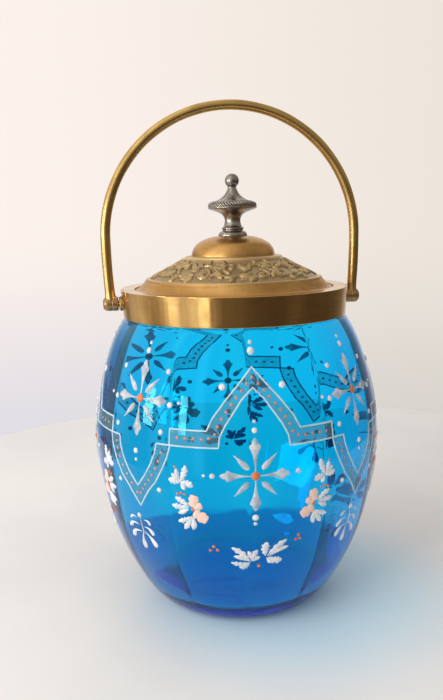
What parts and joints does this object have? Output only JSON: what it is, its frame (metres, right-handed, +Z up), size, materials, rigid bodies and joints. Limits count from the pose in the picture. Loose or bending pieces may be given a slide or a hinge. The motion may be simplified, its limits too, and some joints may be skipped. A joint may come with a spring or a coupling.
{
  "type": "biscuit jar",
  "caption": "Lidded glass biscuit jar with a brass collar, a lift-off domed lid with a cast finial, and a swinging brass bail; stands on its foot and holds dry food.",
  "frame": {"origin": "centre of the foot, on the surface the jar stands on", "axes": "+Z up along the jar's axis; X runs through the two bail pivots, and -Y is the front"},
  "size_m": [0.136, 0.136, 0.2351],
  "materials": {
    "turquoise_glass": "clear turquoise blown glass with raised enamel",
    "plaster": "set plaster",
    "collar_brass": "satin, turned and worn",
    "pin_brass": "plain turned",
    "bail_brass": "satin, handled",
    "lid_brass": "satin dome, dull embossed band",
    "white_metal": "aged silver-grey cast white metal",
    "steel": "plain"
  },
  "bodies": {
    "jar": {"glass_jar": "turquoise_glass", "plaster_bedding": "plaster", "collar_band": "collar_brass", "collar_top_ring": "collar_brass", "left_pivot_boss": "collar_brass", "right_pivot_boss": "collar_brass", "left_pivot_pin": "pin_brass", "right_pivot_pin": "pin_brass"},
    "bail": {"bail_rod": "bail_brass", "left_bail_knuckle": "bail_brass", "right_bail_knuckle": "bail_brass"},
    "lid": {"lid_shell": "lid_brass", "lid_locating_ring": "lid_brass", "finial_body": "white_metal", "finial_stud": "steel", "finial_washer": "steel", "finial_nut": "steel"}
  },
  "joints": [
    {"name": "bail_swing", "type": "hinge", "parent": "jar", "child": "bail", "pos_m": [0, 0, 0.1436], "axis": [1, 0, 0], "range_deg": [-127, 127]},
    {"name": "lid_lift", "type": "slide", "parent": "jar", "child": "lid", "axis": [0, 0, 1], "range_m": [0, 0.026]}
  ]
}
